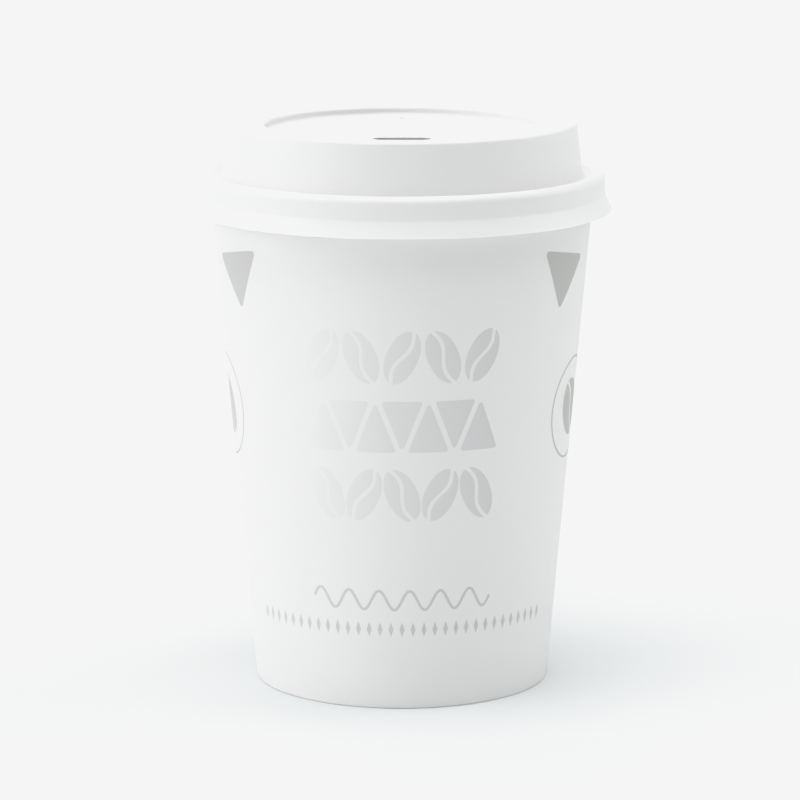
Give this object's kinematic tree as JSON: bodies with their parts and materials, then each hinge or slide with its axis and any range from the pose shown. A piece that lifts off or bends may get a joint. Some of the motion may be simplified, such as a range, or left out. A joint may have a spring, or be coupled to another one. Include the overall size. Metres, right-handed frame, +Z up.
{
  "type": "paper coffee cup",
  "caption": "Tapered single-wall paper cup with rolled rim, side seam and recessed bottom, closed by a white plastic sip-through lid that lifts off.",
  "frame": {"origin": "middle of the ring that the cup stands on, at the bottom of the folded edge", "axes": "+Z up along the cup's axis, -Y towards the sip slot, +Y towards the side seam"},
  "size_m": [0.0948, 0.0948, 0.1281],
  "materials": {
    "paper_board": "smooth white coated paper, pale grey print",
    "bottom_board": "smooth white coated paper",
    "lid_plastic": "satin white formed plastic sheet"
  },
  "bodies": {
    "cup": {"sidewall": "paper_board", "bottom_disc": "bottom_board"},
    "lid": {"sip_lid": "lid_plastic"}
  },
  "joints": [
    {"name": "lid_lift", "type": "slide", "parent": "cup", "child": "lid", "axis": [0, 0, 1], "range_m": [0, 0.04]}
  ]
}
